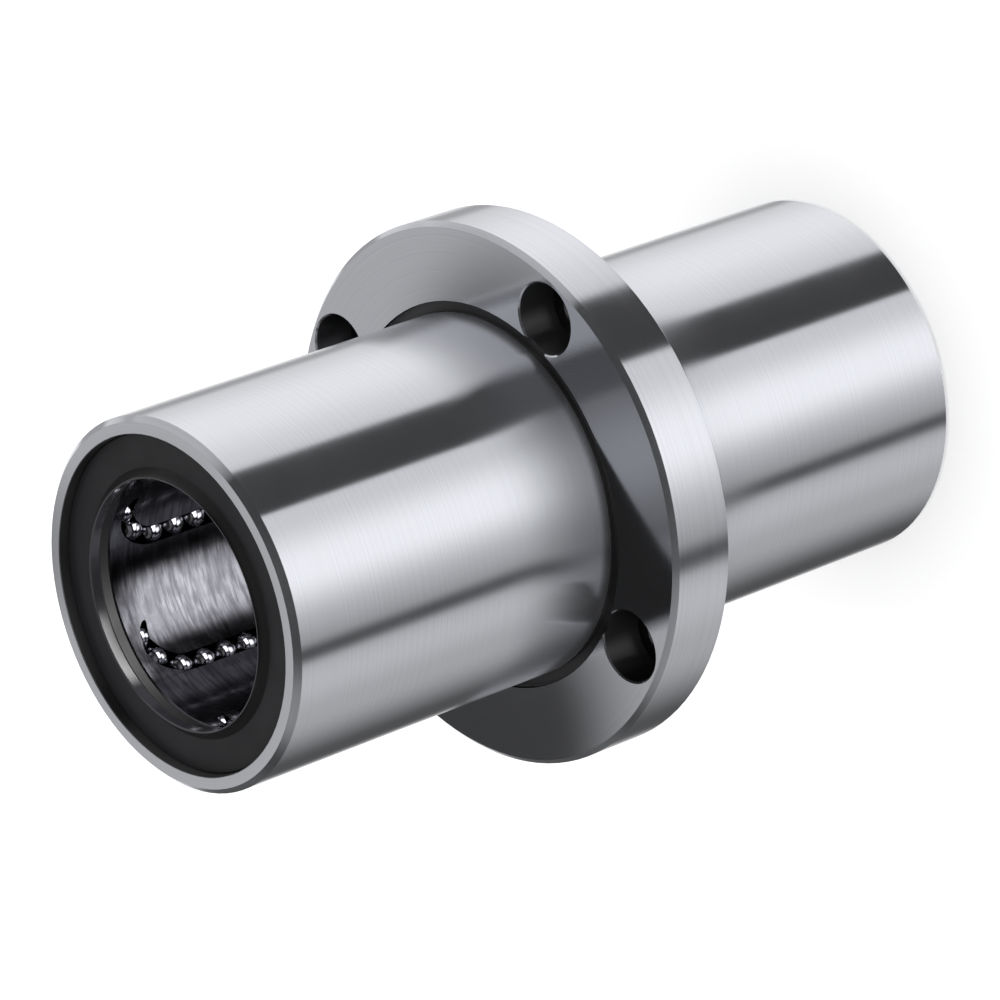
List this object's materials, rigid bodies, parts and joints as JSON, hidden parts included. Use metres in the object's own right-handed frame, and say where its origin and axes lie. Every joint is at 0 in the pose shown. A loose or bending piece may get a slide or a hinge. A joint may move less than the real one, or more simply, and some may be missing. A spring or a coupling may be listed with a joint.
{
  "type": "center flange linear bushing",
  "caption": "Long linear ball bushing with a round, counterbored flange at the middle of its ground steel barrel and a black wiper seal in each end.",
  "frame": {"origin": "on the bore's axis, in the middle of the flange's thickness, which is the middle of the barrel's length", "axes": "+Z along the bore, towards the end that the screws' counterbores face; +X midway between two of the flange's screw holes"},
  "size_m": [0.134, 0.134, 0.209],
  "materials": {
    "ground_steel": "hardened bearing steel, ground and polished",
    "seal_rubber": "satin black nitrile rubber",
    "case_steel": "pressed sheet steel",
    "spring_steel": "oiled dark spring steel",
    "retainer_steel": "turned and milled steel",
    "ball_steel": "polished chromium bearing steel"
  },
  "bodies": {
    "root": {"flanged_sleeve": "ground_steel", "front_retainer": "retainer_steel", "rear_retainer": "retainer_steel", "centre_spacer": "retainer_steel", "front_seal": "seal_rubber", "rear_seal": "seal_rubber", "front_seal_case": "case_steel", "rear_seal_case": "case_steel", "front_stop_ring": "spring_steel", "rear_stop_ring": "spring_steel", "front_balls_1": "ball_steel", "front_balls_2": "ball_steel", "front_balls_3": "ball_steel", "front_balls_4": "ball_steel", "front_balls_5": "ball_steel", "front_balls_6": "ball_steel", "rear_balls_1": "ball_steel", "rear_balls_2": "ball_steel", "rear_balls_3": "ball_steel", "rear_balls_4": "ball_steel", "rear_balls_5": "ball_steel", "rear_balls_6": "ball_steel"}
  },
  "joints": []
}
